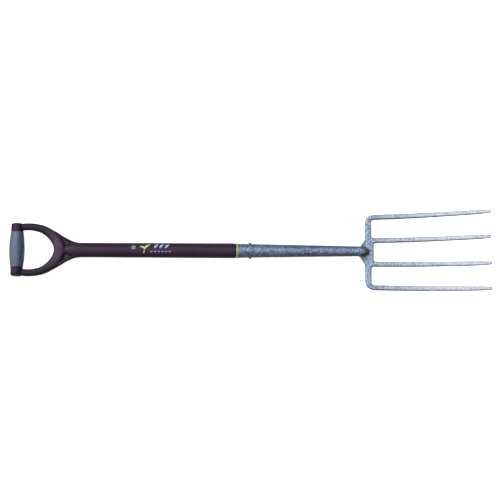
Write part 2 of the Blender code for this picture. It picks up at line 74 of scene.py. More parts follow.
# Hammered enamel
DIMPLE_SIZE = 0.0032
DIMPLE_DEPTH = 0.00015
DIMPLE_RIM = (0.02, 0.55)  # from the line between two dimples to their flat middles, in dimple sizes
HASH_AXES = (73856093, 19349663, 83492791)
HASH_SALT = 2654435761
HASH_STIRS = (2246822519, 3266489917)
TINE_LENGTH = 0.2600  # from its tip back to the crossbar, over which it turns paler: a painted highlight that also stands for wear
PALE_LENGTH = 0.0950  # the part of it, at its tip, where it is palest

# Worn edges and hollows
EDGE_BEND = (0.05, 0.16)  # from no wear to full wear
EDGE_ROUNDS = 2  # how often the bend is evened out
DEPTH_ROUNDS = 120  # how often the shape is smoothed before depths are measured from it

# D frame
CROWN_REACH = 0.0560  # from its end, at the shaft, to the middle of its crown

# Sleeve
GROOVE = 0.0018  # length of its narrow step
NECK_OVERLAP = 0.0012  # it starts this far inside the rounded rim of the handle's neck

# Weld bead
WELD_OVERLAP = 0.0004  # it laps this far over each neighbour
WELD_CROWN = 0.0006  # how much its middle stands proud of its sides
WELD_RIPPLES = 30
RIPPLE_DEPTH = 0.00022

# Grip
LIP_LENGTH = 0.0015
LIP_SLOPE = 0.0005  # length of the step from the lip down to the barrel
LIP_HEIGHT = 0.0004

# End caps
CAP_RING_RADIUS = 0.0082
CAP_MARK_DEPTH = 0.0003

# Print
PRINT_START = 0.0955  # from the sleeve's start. The places below are from the print's own start.
BLOSSOM_CENTRE = (0.0045, 0.0040)
PETAL_SPAN = (0.0008, 0.0056)  # from the blossom's centre to a petal's two ends
PETAL_HALF = 0.0017  # half its width
SEEDLING_ROOT = (0.0270, -0.0108)
SEEDLING_FORK = (0.0285, -0.0010)
SEEDLING_TIPS = ((0.0175, 0.0052), (0.0405, 0.0098))
BAR_START = (0.0485, 0.0016)
BAR_STEP = 0.0115
BAR_SLANT = (0.0088, 0.0094)  # from a bar's start to its end
DASH_START = (0.0400, -0.0056)
DASH_STEP = 0.0077
DASH_SLANT = (0.0050, 0.0006)
PRINT_SUNK = 0.0003  # its underside lies this far inside the sleeve
PRINT_HEIGHT = 0.00006  # its top stands this far proud
PRINT_COLUMNS = 9  # points across a stroke
LEAF_ROWS = 25
DASH_ROWS = 17

# Colours. An enamel also has how metallic it is, how strongly its sides are shaded, and its least roughness.
Enamel = namedtuple("Enamel", "line base bright shade tip metallic side_share smoothest")
# An enamel's shade colour is painted shade, laid on its sides and in its hollows.
HEAD_PAINT = Enamel(
    line=(60, 75, 99),
    base=(132, 147, 165),
    bright=(158, 168, 183),
    shade=(18, 29, 48),
    # The tip colour: paler towards the tips, a painted highlight that also stands for wear.
    tip=(161, 164, 171),
    metallic=0.3,
    side_share=0.95,
    smoothest=0.46,
)
SOCKET_PAINT = Enamel(
    line=(30, 42, 64),
    base=(90, 107, 133),
    bright=(158, 172, 195),
    shade=(20, 28, 44),
    tip=(120, 138, 168),
    metallic=0.5,
    side_share=0.55,
    smoothest=0.32,
)
SLEEVE_DARK = (29, 18, 31)
SLEEVE_LIGHT = (38, 26, 42)
SLEEVE_WARM = (40, 22, 34)
SLEEVE_SCUFF = (70, 60, 72)
HANDLE_DARK = (19, 11, 22)
HANDLE_LIGHT = (27, 17, 31)
# Painted highlight on the handle's crown.
HANDLE_CROWN_HIGHLIGHT = (51, 40, 54)
HANDLE_NECK = (38, 27, 41)
HANDLE_EDGE = (66, 56, 68)
CAP_DARK = (24, 17, 26)
CAP_LIGHT = (38, 29, 41)
# Painted shade for the plastics' sides and hollows.
PLASTIC_SIDE_SHADE = (12, 8, 14)
PLASTIC_HOLLOW_SHADE = (8, 5, 9)
GRIP_DARK = (27, 39, 56)
GRIP_LIGHT = (39, 54, 74)
GRIP_PIT = (66, 79, 97)
COLLAR_LIME = (110, 119, 76)
COLLAR_DEEP = (104, 116, 52)
INK_PALE = (118, 126, 168)
INK_PALE_DEEP = (98, 106, 146)
INK_GREY = (96, 96, 108)
INK_GREY_DEEP = (80, 80, 92)
INK_LIME = (142, 142, 92)
INK_LIME_DEEP = (114, 116, 58)
RIVET_DARK = (50, 55, 62)
RIVET_LIGHT = (96, 101, 108)
SCREW_DARK = (140, 140, 136)
SCREW_LIGHT = (190, 190, 184)
TUBE_DARK = (132, 134, 138)
TUBE_LIGHT = (176, 178, 182)
WOOD_DARK = (150, 112, 72)
WOOD_LIGHT = (196, 162, 116)
FLOOR_GREY = (176, 176, 176)
WHITE = (255, 255, 255)
STUDIO_AIR = (226, 230, 238)

# Studio
FLOOR_REACH = 60.0
FLOOR_DROP = 0.0002  # the gap between the fork and the floor
FLOOR_GLOW = 0.8  # only for the camera: it shows the floor white, and doesn't light the fork
LIGHTS = (  # name, place, what it points at, side of the square, watts
    ("overhead", (-1.3, 0.45, 2.2), (-1.3, 0.45, 0), 3.2, 125),
    ("key", (-2.0, 1.7, 2.2), (0, 0, 0), 1.4, 90),
    ("rim", (-3.4, 0.1, 0.9), (0, 0, 0), 0.9, 45),
    ("fill", (-0.6, -1.9, 1.5), (-0.2, 0, 0), 1.2, 8),
)
AIR_STRENGTH = 0.35
CAMERA_LENS = 152.9  # in millimetres, for a sensor 36 mm wide
CAMERA_DISTANCE = 4.5
CAMERA_TURN = (-1.53, 10.75, -0.01)  # yaw, pitch and roll in degrees
CAMERA_SHIFT = (-0.0007, 0.0017)  # from the fork's middle to the point that it looks at


# Small tools


def srgb(colour):
    """Linear colour of three 8-bit sRGB values."""
    return [((value / 255 + 0.055) / 1.055) ** 2.4 for value in colour] + [1.0]


def add(name, mesh):
    made = bpy.data.objects.new(name, mesh)
    bpy.context.scene.collection.objects.link(made)
    return made


def evaluated(source):
    """The object's mesh with its modifiers applied."""
    bpy.context.view_layer.update()
    graph = bpy.context.evaluated_depsgraph_get()
    return bpy.data.meshes.new_from_object(source.evaluated_get(graph))


def points_of(mesh):
    points = np.empty(len(mesh.vertices) * 3)
    mesh.vertices.foreach_get("co", points)
    return points.reshape(-1, 3)


def normals_of(mesh):
    normals = np.empty(len(mesh.vertices) * 3, np.float32)
    mesh.vertex_normals.foreach_get("vector", normals)
    return normals.reshape(-1, 3).astype(float)


def edges_of(mesh):
    pairs = np.empty(len(mesh.edges) * 2, np.int32)
    mesh.edges.foreach_get("vertices", pairs)
    return pairs.reshape(-1, 2)


def set_points(mesh, points):
    mesh.vertices.foreach_set("co", points.astype(np.float32).ravel())
    mesh.update()


def keep_value(mesh, name, values):
    """Stores one number for each point of the mesh, which the materials read by name."""
    layer = mesh.attributes.new(name, "FLOAT", "POINT")
    layer.data.foreach_set("value", np.asarray(values, np.float32))


def smooth_step(values, low, high):
    share = np.clip((values - low) / (high - low), 0, 1)
    return share * share * (3 - 2 * share)


def from_shaft(points):
    """Each point's distance from the shaft's axis."""
    return np.hypot(points[:, 1], points[:, 2] - AXIS_Z)


def install(piece, node, look):
    """Puts the finished piece on the fork in its CAD node's place."""
    piece.data.materials.clear()
    piece.data.materials.append(look)
    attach(piece, "root")
    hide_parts(node)


# Meshes


def outward_mesh(name, points, faces, smooth):
    """A mesh whose normals all point outwards."""
    mesh = bpy.data.meshes.new(name)
    mesh.from_pydata(points.tolist(), [], faces)
    work = bmesh.new()
    work.from_mesh(mesh)
    bmesh.ops.recalc_face_normals(work, faces=work.faces)
    for face in work.faces:
        face.smooth = smooth
    work.to_mesh(mesh)
    work.free()
    return mesh


def remeshed(name, node, voxel, rounds):
    """A copy of the node's solid with small even faces and its hard edges eased."""
    source = add(name + "_source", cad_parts[node].data.copy())
    weld = source.modifiers.new("weld", "WELD")
    weld.merge_threshold = 1e-5
    remesh = source.modifiers.new("remesh", "REMESH")
    remesh.mode = "VOXEL"
    remesh.voxel_size = voxel
    remesh.use_smooth_shade = True
    ease = source.modifiers.new("ease", "SMOOTH")
    ease.factor = 0.5
    ease.iterations = rounds
    mesh = evaluated(source)
    bpy.data.objects.remove(source)
    return add(name, mesh)


def turned(name, profile, steps, line, along="X"):
    """The profile, a list of (place along the axis, radius), turned round the axis as a closed ring."""
    profile = np.array(profile)
    turn = np.linspace(0, 2 * math.pi, steps, endpoint=False)
    place = np.repeat(profile[:, 0], steps)
    across = np.outer(profile[:, 1], np.sin(turn)).ravel()
    up = np.outer(profile[:, 1], np.cos(turn)).ravel()
    columns = (place, across, up) if along == "X" else (across, place, up)
    points = np.stack(columns, axis=1) + np.array(line)
    rows = len(profile)
    faces = []
    for row in range(rows):
        start = row * steps
        after = (row + 1) % rows * steps
        for step in range(steps):
            beside = (step + 1) % steps
            faces.append((start + step, start + beside, after + beside, after + step))
    return add(name, outward_mesh(name, points, faces, smooth=True))


def finely(profile, spacing):
    """The closed profile with extra points, so that none are further apart than the spacing."""
    made = []
    for index, point in enumerate(profile):
        start = np.array(point, float)
        end = np.array(profile[(index + 1) % len(profile)], float)
        count = max(1, math.ceil(np.linalg.norm(end - start) / spacing))
        for step in range(count):
            made.append(tuple(start + (end - start) * step / count))
    return made


def rounded(corner, before, after, radius):
    """Points on a curve that eases the profile's corner."""
    corner, before, after = (np.array(point, float) for point in (corner, before, after))
    start = corner + (before - corner) / np.linalg.norm(before - corner) * radius
    end = corner + (after - corner) / np.linalg.norm(after - corner) * radius
    made = []
    for t in (0, 0.25, 0.5, 0.75, 1):
        made.append(tuple((1 - t) ** 2 * start + 2 * t * (1 - t) * corner + t * t * end))
    return made


def eased(profile, radii):
    """The closed profile with its corners rounded, by one radius or by each corner's own."""
    radii = radii if isinstance(radii, tuple) else (radii,) * len(profile)
    made = []
    for index, corner in enumerate(profile):
        before = profile[index - 1]
        after = profile[(index + 1) % len(profile)]
        made += rounded(corner, before, after, radii[index])
    return made


def radius_at(node, place, line, along="X", reach=0.0006):
    """The node's (least, greatest) distance from the axis near a place along it."""
    points = points_of(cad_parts[node].data) - np.array(line)
    axis = 0 if along == "X" else 1
    near = points[np.abs(points[:, axis] - place) < reach]
    radii = np.hypot(near[:, 1 - axis], near[:, 2])
    return radii.min(), radii.max()


# Relief


def random_of(cell, salt):
    """One repeatable random number from 0 to 1 for each whole-number cell."""
    mixed = (cell @ np.array(HASH_AXES) + salt * HASH_SALT) & 0xFFFFFFFF
    mixed = ((mixed ^ (mixed >> 15)) * HASH_STIRS[0]) & 0xFFFFFFFF
    mixed = ((mixed ^ (mixed >> 13)) * HASH_STIRS[1]) & 0xFFFFFFFF
    return ((mixed ^ (mixed >> 16)) & 0xFFFFFF) / 0xFFFFFF


def pebbles(points, size):
    """Cell pattern: 0 on the lines between cells and 1 in their middles, and each cell's own tone."""
    place = points / size
    base = np.floor(place).astype(np.int64)
    nearest = np.full(len(points), np.inf)
    second = np.full(len(points), np.inf)
    tone = np.zeros(len(points))
    for shift in np.ndindex(3, 3, 3):
        cell = base + np.array(shift) - 1
        seed = cell + np.stack([random_of(cell, salt) for salt in (1, 2, 3)], axis=1)
        distance = np.linalg.norm(place - seed, axis=1)
        closer = distance < nearest
        second = np.where(closer, nearest, np.minimum(second, distance))
        tone = np.where(closer, random_of(cell, 4), tone)
        nearest = np.where(closer, distance, nearest)
    return smooth_step(second - nearest, *DIMPLE_RIM), tone


def hammer(mesh, share=1.0):
    """Presses a share of the depth of hammered enamel's dimples into the mesh, and keeps their pattern."""
    points = points_of(mesh)
    cell, tone = pebbles(points, DIMPLE_SIZE)
    set_points(mesh, points - normals_of(mesh) * (DIMPLE_DEPTH * cell * share)[:, None])
    keep_value(mesh, "cell", cell)
    keep_value(mesh, "tone", tone)


def spread(values, pairs, counts):
    """Each point's average over its neighbours."""
    first, second = pairs.T
    columns = []
    for column in values.reshape(len(values), -1).T:
        total = np.bincount(first, column[second], len(values))
        columns.append((total + np.bincount(second, column[first], len(values))) / counts)
    return np.stack(columns, axis=1).reshape(values.shape)


def neighbours(mesh):
    """The mesh's points, its edges as pairs of them, and how many edges meet at each."""
    points = points_of(mesh)
    pairs = edges_of(mesh)
    counts = np.maximum(np.bincount(pairs.ravel(), minlength=len(points)), 1)
    return points, pairs, counts


def mark_edges(mesh, bend_range=EDGE_BEND):
    """Keeps how much each point stands on an outer edge, where wear shows, and in a hollow."""
    points, pairs, counts = neighbours(mesh)
    length = np.linalg.norm(points[pairs[:, 0]] - points[pairs[:, 1]], axis=1).mean()
    bend = -np.sum((spread(points, pairs, counts) - points) * normals_of(mesh), axis=1) / length
    for _ in range(EDGE_ROUNDS):
        bend = (bend + spread(bend, pairs, counts)) / 2
    keep_value(mesh, "edge", smooth_step(bend, *bend_range))
    keep_value(mesh, "hollow", smooth_step(-bend, *bend_range))


def mark_depths(mesh, low, high):
    """Keeps how deep each point lies in a broad hollow, from low to high below the smoothed shape."""
    points, pairs, counts = neighbours(mesh)
    smooth = points
    for _ in range(DEPTH_ROUNDS):
        smooth = (smooth + spread(smooth, pairs, counts)) / 2
    depth = np.sum((smooth - points) * normals_of(mesh), axis=1)
    keep_value(mesh, "deep", smooth_step(depth, low, high))


# Materials. Scales are features for each metre and bump distances are metres. The shares, ranges and
# roughnesses were settled against the photo.


class Graph:
    """One material's nodes, with a short call for each kind that is used here."""

    def __init__(self, name):
        self.material = bpy.data.materials.new(name)
        self.material.use_nodes = True
        self.tree = self.material.node_tree
        self.shader = self.tree.nodes["Principled BSDF"]
        self.point = self.tree.nodes.new("ShaderNodeTexCoord").outputs["Object"]

    def put(self, socket, value):
        if isinstance(value, bpy.types.NodeSocket):
            self.tree.links.new(value, socket)
        else:
            socket.default_value = value

    def node(self, kind, inputs, **settings):
        made = self.tree.nodes.new("ShaderNode" + kind)
        for key, value in settings.items():
            setattr(made, key, value)
        for key, value in inputs.items():
            self.put(made.inputs[key], value)
        return made

    def stretched(self, scale):
        """The object's coordinates, in metres, times a scale for each axis."""
        return self.node("VectorMath", {0: self.point, 1: scale}, operation="MULTIPLY").outputs[0]

    def noise(self, scale, detail=2.0, roughness=0.5):
        """Noise with that many features for each metre."""
        inputs = {"Vector": self.point, "Scale": scale, "Detail": detail, "Roughness": roughness}
        return self.node("TexNoise", inputs).outputs["Fac"]

    def streaks(self, scale, detail=4.0, roughness=0.5, distortion=0.0):
        """Noise with its own number of features for each metre of X, Y and Z."""
        inputs = {"Vector": self.stretched(scale), "Scale": 1.0, "Detail": detail}
        inputs.update({"Roughness": roughness, "Distortion": distortion})
        return self.node("TexNoise", inputs).outputs["Fac"]

    def voronoi(self, scale, output, feature="F1"):
        inputs = {"Vector": self.point, "Scale": scale}
        return self.node("TexVoronoi", inputs, feature=feature).outputs[output]

    def attribute(self, name):
        """The value that the mesh keeps under that name, or 0 where it keeps none."""
        return self.node("Attribute", {}, attribute_name=name).outputs["Fac"]

    def part(self, vector, axis):
        return self.node("SeparateXYZ", {0: vector}).outputs[axis]

    def math(self, operation, first, second=0.0):
        return self.node("Math", {0: first, 1: second}, operation=operation).outputs[0]

    def times(self, first, second):
        return self.math("MULTIPLY", first, second)

    def span(self, value, low, high, start=0.0, end=1.0):
        """The value's range from low to high, turned into start to end."""
        inputs = {"Value": value, "From Min": low, "From Max": high, "To Min": start, "To Max": end}
        return self.node("MapRange", inputs).outputs["Result"]

    def spanned(self, noise, start=0.0, end=1.0):
        """A noise's usual range, 0.3 to 0.7, turned into start to end."""
        return self.span(noise, 0.3, 0.7, start, end)

    def mix(self, first, second, share):
        made = self.tree.nodes.new("ShaderNodeMix")
        made.data_type = "RGBA"
        self.put(made.inputs[0], share)
        self.put(made.inputs[6], srgb(first) if isinstance(first, tuple) else first)
        self.put(made.inputs[7], srgb(second) if isinstance(second, tuple) else second)
        return made.outputs[2]

    def sides(self, low, high):
        """1 where the surface faces sideways, and 0 where it faces up or down."""
        normal = self.node("NewGeometry", {}).outputs["True Normal"]
        return self.span(self.math("ABSOLUTE", self.part(normal, "Z")), low, high, 1.0, 0.0)

    def bump(self, height, distance, strength, normal=None):
        inputs = {"Height": height, "Distance": distance, "Strength": strength}
        if normal is not None:
            inputs["Normal"] = normal
        return self.node("Bump", inputs).outputs["Normal"]

    def finish(self, **inputs):
        for key, value in inputs.items():
            self.put(self.shader.inputs[key.replace("_", " ")], value)
        return self.material


def enamel_colour(g, paint, worn):
    """Pebbles with darker lines between them, aluminium flake with painted glints, painted shade on the
    sides and in hollows, paler tips and bright worn edges.
    """
    cell = g.attribute("cell")
    tone = g.attribute("tone")
    side = g.sides(0.5, 0.92)
    cloud = g.noise(30, detail=3.0)
    flake = g.part(g.voronoi(2600, "Color"), "X")
    colour = g.mix(paint.line, paint.base, g.span(cell, 0.0, 0.5))
    colour = g.mix(colour, paint.bright, g.times(g.span(tone, 0.3, 1.0, 0.0, 0.85), g.span(cell, 0.3, 1.0)))
    colour = g.mix(colour, paint.line, g.span(cloud, 0.35, 0.72, 0.0, 0.2))
    # Paler towards the tines' tips, a painted highlight that also stands for wear, and towards the socket's
    # narrow end.
    colour = g.mix(colour, paint.tip, g.times(g.attribute("pale"), g.span(cell, 0.0, 0.6, 0.4, 0.85)))
    # Aluminium flake, its specks lightened as painted glints.
    colour = g.mix(colour, paint.bright, g.span(flake, 0.6, 1.0, 0.0, 0.2))
    # Painted shade on the sides, more of it towards the socket's narrow end, and in creases and broad
    # hollows.
    colour = g.mix(colour, paint.shade, g.times(side, paint.side_share))
    colour = g.mix(colour, paint.shade, g.times(side, g.attribute("narrow")))
    colour = g.mix(colour, paint.shade, g.times(g.attribute("hollow"), 0.5))
    colour = g.mix(colour, paint.shade, g.times(g.attribute("deep"), 0.8))
    return g.mix(colour, paint.bright, g.times(worn, 0.6))


def hammered_enamel(name, paint):
    """Enamel over the dimples that the mesh keeps, with a fine orange peel and a thin clear coat."""
    g = Graph(name)
    scuff = g.span(g.noise(160, detail=4.0, roughness=0.65), 0.48, 0.62)
    worn = g.times(g.attribute("edge"), scuff)
    rough = g.spanned(g.noise(420), paint.smoothest, paint.smoothest + 0.14)
    peel = g.bump(g.noise(700), 0.00012, 0.6)
    return g.finish(
        Base_Color=enamel_colour(g, paint, worn),
        Metallic=paint.metallic,
        Roughness=g.math("ADD", rough, g.times(worn, 0.12)),
        Normal=g.bump(g.attribute("cell"), 0.0001, 0.5, peel),
        Coat_Weight=0.1,
        Coat_Roughness=0.3,
    )


def sleeve_plastic():
    """Extruded sleeve: fine lines along the shaft, a satin skin, a few pale scuffs and painted shade on its
    sides.
    """
    g = Graph("sleeve_plastic")
    lines = g.streaks((5, 900, 900), roughness=0.6)
    broad = g.streaks((9, 70, 70), detail=2.0)
    cloud = g.noise(26, detail=3.0)
    scratch = g.streaks((30, 1500, 1500), detail=5.0, roughness=0.7, distortion=0.4)
    scuffed = g.times(g.span(scratch, 0.66, 0.74), g.span(g.noise(11), 0.5, 0.65))
    colour = g.mix(SLEEVE_DARK, SLEEVE_LIGHT, g.spanned(broad))
    colour = g.mix(colour, SLEEVE_WARM, g.span(cloud, 0.45, 0.75, 0.0, 0.35))
    colour = g.mix(colour, SLEEVE_SCUFF, g.times(scuffed, 0.5))
    # Painted shade on the sides.
    colour = g.mix(colour, PLASTIC_SIDE_SHADE, g.times(g.sides(0.6, 0.88), 0.4))
    rough = g.math("ADD", g.spanned(lines, 0.27, 0.37), g.times(scuffed, 0.2))
    grain = g.bump(g.noise(2200), 0.00001, 0.5)
    normal = g.bump(lines, 0.00003, 0.7, grain)
    return g.finish(Base_Color=colour, Roughness=rough, Normal=normal, Specular_IOR_Level=0.08)


def moulded_plastic(name, dark, light):
    """Moulded handle: fine spark-etched grain, flow marks, a parting line, polish on its edges, a painted
    highlight on its crown and painted shade in hollows and on its sides.
    """
    g = Graph(name)
    grain = g.voronoi(1500, "Distance", "SMOOTH_F1")
    flow = g.streaks((26, 60, 60), detail=3.0, distortion=0.6)
    edge = g.attribute("edge")
    patchy = g.span(g.noise(140, detail=4.0), 0.4, 0.7, 0.0, 0.35)
    colour = g.mix(dark, light, g.spanned(flow))
    # Painted highlight on the crown.
    colour = g.mix(colour, HANDLE_CROWN_HIGHLIGHT, g.times(g.attribute("crown_highlight"), 0.8))
    colour = g.mix(colour, HANDLE_NECK, g.times(g.attribute("neck"), 0.8))
    colour = g.mix(colour, HANDLE_EDGE, g.times(edge, patchy))
    # Painted shade in creases, broad hollows and on the sides.
    colour = g.mix(colour, PLASTIC_HOLLOW_SHADE, g.times(g.attribute("hollow"), 0.45))
    colour = g.mix(colour, PLASTIC_HOLLOW_SHADE, g.times(g.attribute("deep"), 0.25))
    colour = g.mix(colour, PLASTIC_SIDE_SHADE, g.times(g.sides(0.35, 0.92), 0.7))
    rough = g.spanned(g.noise(300, detail=3.0), 0.32, 0.44)
    rough = g.math("SUBTRACT", rough, g.times(edge, 0.1))
    from_parting = g.math("ABSOLUTE", g.math("SUBTRACT", g.part(g.point, "Z"), AXIS_Z))
    parting = g.span(from_parting, 0.0002, 0.0006, 1.0, 0.0)
    normal = g.bump(grain, 0.00005, 0.5, g.bump(parting, 0.00015, 0.8))
    return g.finish(Base_Color=colour, Roughness=rough, Normal=normal, Specular_IOR_Level=0.07)


def soft_rubber():
    """Soft grip: a matt skin with fine pits, a little paler in them and darker near its ends."""
    g = Graph("grip_rubber")
    cloud = g.noise(45, detail=4.0, roughness=0.6)
    pits = g.voronoi(1300, "Distance")
    near_end = g.span(g.math("ABSOLUTE", g.part(g.point, "Y")), 0.026, 0.0375)
    colour = g.mix(GRIP_DARK, GRIP_LIGHT, g.spanned(cloud))
    colour = g.mix(colour, GRIP_DARK, g.times(near_end, 0.5))
    colour = g.mix(colour, GRIP_PIT, g.times(g.span(pits, 0.0, 0.5, 1.0, 0.0), 0.3))
    rough = g.spanned(cloud, 0.48, 0.6)
    normal = g.bump(pits, 0.00008, 0.6)
    return g.finish(Base_Color=colour, Roughness=rough, Normal=normal, Sheen_Weight=0.05, IOR=1.45)


def gloss_plastic(name, colour, deeper):
    """Glossy moulded ring or print, with slight clouding and fine scratches."""
    g = Graph(name)
    cloud = g.noise(180, detail=3.0)
    fine = g.streaks((700, 90, 90))
    colour = g.mix(colour, deeper, g.span(cloud, 0.35, 0.75, 0.0, 0.6))
    rough = g.spanned(fine, 0.26, 0.4)
    return g.finish(Base_Color=colour, Roughness=rough, Normal=g.bump(fine, 0.00002, 0.5), IOR=1.45)


def steel(name, dark, light, roughness, scale):
    """Plain steel with fine working marks, dulled in patches."""
    g = Graph(name)
    marks = g.streaks(scale, roughness=0.65)
    patch = g.noise(300, detail=3.0)
    colour = g.mix(dark, light, g.spanned(marks))
    colour = g.mix(colour, dark, g.span(patch, 0.5, 0.75, 0.0, 0.6))
    rough = g.spanned(marks, roughness - 0.06, roughness + 0.06)
    rough = g.math("ADD", rough, g.span(patch, 0.4, 0.7, 0.0, 0.12))
    return g.finish(Base_Color=colour, Metallic=0.9, Roughness=rough, Normal=g.bump(marks, 0.00003, 0.6))


def turned_wood(name):
    """Turned hardwood plug, with grain along the shaft."""
    g = Graph(name)
    grain = g.streaks((14, 260, 260), detail=5.0, roughness=0.6, distortion=0.8)
    colour = g.mix(WOOD_DARK, WOOD_LIGHT, g.spanned(grain))
    rough = g.spanned(grain, 0.55, 0.7)
    return g.finish(Base_Color=colour, Roughness=rough, Normal=g.bump(grain, 0.0001, 0.5))


# Pieces


def build_head(look):
    piece = remeshed("forged_head", "fork_head", voxel=0.0009, rounds=6)
    mark_edges(piece.data)
    # Broad hollows, such as the neck's flanks, take painted shade.
    mark_depths(piece.data, low=0.0002, high=0.0014)
    hammer(piece.data)
    # Paler towards the tips: a painted highlight that also stands for wear.
    from_tip = points_of(piece.data)[:, 0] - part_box("fork_head")[1].x
    keep_value(piece.data, "pale", np.interp(from_tip, (-TINE_LENGTH, -PALE_LENGTH), (0, 1)))
    install(piece, "fork_head", look)


def build_socket(look):
    """Tapered tube, dimpled outside only. Where it narrows, it is paler and its sides carry more painted
    shade.
    """
    low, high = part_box("head_socket")
    wide = radius_at("head_socket", low.x, SHAFT_LINE)
    narrow = radius_at("head_socket", high.x, SHAFT_LINE)
    corners = [(low.x, wide[1]), (high.x, narrow[1]), (high.x, narrow[0]), (low.x, wide[0])]
    profile = finely(eased(corners, radii=0.0005), spacing=0.0009)
    piece = turned("hammered_socket", profile, steps=110, line=SHAFT_LINE)
    points = points_of(piece.data)
    share = (points[:, 0] - low.x) / (high.x - low.x)
    middle = (wide[0] + wide[1]) / 2 + share * (narrow[0] + narrow[1] - wide[0] - wide[1]) / 2
    mark_edges(piece.data, bend_range=(0.06, 0.3))
    keep_value(piece.data, "pale", 0.4 * smooth_step(share, 0.55, 0.95))
    # Painted shade: more of it on the sides towards the narrow end.
    keep_value(piece.data, "narrow", 0.65 * smooth_step(share, 0.3, 0.9))
    hammer(piece.data, smooth_step(from_shaft(points), middle, middle + 0.0005))
    install(piece, "head_socket", look)


def weld_profile(start, end, bore, outer):
    """A ring with a crowned outside."""
    profile = []
    for angle in np.linspace(0, math.pi, 15):
        place = (start + end) / 2 - (end - start) / 2 * math.cos(angle)
        profile.append((place, outer - WELD_CROWN + WELD_CROWN * math.sin(angle)))
    return profile + [(end, bore), (start, bore)]


def build_weld(look):
    """Bead with the overlapping ripples of a weld laid round the joint."""
    low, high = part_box("neck_weld")
    bore, outer = radius_at("neck_weld", (low.x + high.x) / 2, SHAFT_LINE, reach=0.002)
    start = low.x - WELD_OVERLAP
    end = high.x + WELD_OVERLAP
    piece = turned("weld_bead", weld_profile(start, end, bore, outer), steps=150, line=SHAFT_LINE)
    points = points_of(piece.data)
    turn = np.arctan2(points[:, 1], points[:, 2] - AXIS_Z)
    radius = from_shaft(points)
    across = (points[:, 0] - (start + end) / 2) / (end - start) * 2
    bow = 1.6 * across ** 2
    unevenness = 0.5 * np.sin(3 * turn)
    phase = WELD_RIPPLES * turn + bow + unevenness
    crest = np.abs(np.sin(phase / 2))
    ripple = RIPPLE_DEPTH * (1 - crest) * smooth_step(radius, bore, outer - 0.0007)
    scale = (radius - ripple) / radius
    points[:, 1] *= scale
    points[:, 2] = AXIS_Z + (points[:, 2] - AXIS_Z) * scale
    set_points(piece.data, points)
    keep_value(piece.data, "cell", crest)
    keep_value(piece.data, "tone", 0.5 + 0.3 * np.sin(5 * turn))
    install(piece, "neck_weld", look)


def build_collar(look):
    low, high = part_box("collar_ring")
    bore, outer = radius_at("collar_ring", (low.x + high.x) / 2, SHAFT_LINE, reach=0.003)
    corners = [(low.x, outer), (high.x, outer), (high.x, bore), (low.x, bore)]
    profile = finely(eased(corners, radii=0.0007), spacing=0.0006)
    piece = turned("lime_ring", profile, steps=128, line=SHAFT_LINE)
    install(piece, "collar_ring", look)


def build_sleeve(look):
    """Plastic tube that ends in a narrow step, which makes the dark groove beside the ring."""
    low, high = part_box("shaft_sleeve")
    start = low.x - NECK_OVERLAP
    step = high.x - GROOVE
    bore, wide = radius_at("shaft_sleeve", low.x, SHAFT_LINE)
    full = radius_at("shaft_sleeve", step, SHAFT_LINE)[1]
    narrow = radius_at("shaft_sleeve", high.x, SHAFT_LINE)[1]
    corners = [(start, wide), (step, full), (step, narrow), (high.x, narrow), (high.x, bore), (start, bore)]
    radii = (0.0001, 0.0004, 0.0004, 0.0004, 0.0004, 0.0004)
    profile = finely(eased(corners, radii), spacing=0.004)
    piece = turned("sleeve_tube", profile, steps=128, line=SHAFT_LINE)
    install(piece, "shaft_sleeve", look)


def build_d_frame(look):
    piece = remeshed("d_handle", "d_handle_frame", voxel=0.0008, rounds=8)
    mark_edges(piece.data)
    # Broad hollows, such as the webs beside the neck, take painted shade.
    mark_depths(piece.data, low=0.0003, high=0.0020)
    points = points_of(piece.data)
    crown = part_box("d_handle_frame")[1].x - CROWN_REACH
    from_crown = np.hypot(points[:, 0] - crown, points[:, 1] / 2)
    # Painted highlight round the crown.
    keep_value(piece.data, "crown_highlight", smooth_step(-from_crown, -0.038, -0.006))
    keep_value(piece.data, "neck", smooth_step(points[:, 0], crown + 0.008, crown + 0.018))
    install(piece, "d_handle_frame", look)


def build_grip(look):
    """Soft barrel with a raised lip at each end."""
    low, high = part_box("grip_sleeve")
    half = (high.y - low.y) / 2
    full = (high.x - low.x) / 2
    bore, lip = radius_at("grip_sleeve", high.y, GRIP_LINE, "Y")
    barrel_end = half - LIP_LENGTH - LIP_SLOPE
    barrel_radius = lip - LIP_HEIGHT
    barrel = []
    for place in np.linspace(-barrel_end, barrel_end, 61):
        fullness = max(0.0, math.cos(math.pi / 2 * place / barrel_end)) ** 0.8
        barrel.append((place, barrel_radius + (full - barrel_radius) * fullness))
    left = rounded((-half, lip), (-half, bore), (-barrel_end, lip), 0.0006)
    right = rounded((half, lip), (barrel_end, lip), (half, bore), 0.0006)
    profile = left + [(LIP_LENGTH - half, lip)] + barrel + [(half - LIP_LENGTH, lip)] + right
    profile += [(half, bore), (-half, bore)]
    piece = turned("barrel_grip", profile, steps=112, line=GRIP_LINE, along="Y")
    install(piece, "grip_sleeve", look)


def build_cap(side, look):
    """Flat cap with a moulded ring and the small round mark of its mould's gate sunk into its face."""
    node = "grip_end_cap_" + side
    piece = remeshed("hub_cap_" + side, node, voxel=0.0004, rounds=5)
    points = points_of(piece.data)
    outward = np.abs(points[:, 1])
    radius = np.hypot(points[:, 0] - GRIP_X, points[:, 2] - AXIS_Z)
    on_face = smooth_step(outward, outward.max() - 0.0008, outward.max() - 0.0004)
    ring = smooth_step(np.abs(radius - CAP_RING_RADIUS), 0.0009, 0.0004)
    gate = smooth_step(radius, 0.0017, 0.0010)
    points[:, 1] -= np.sign(points[:, 1]) * CAP_MARK_DEPTH * on_face * np.maximum(ring, gate)
    set_points(piece.data, points)
    mark_edges(piece.data)
    install(piece, node, look)


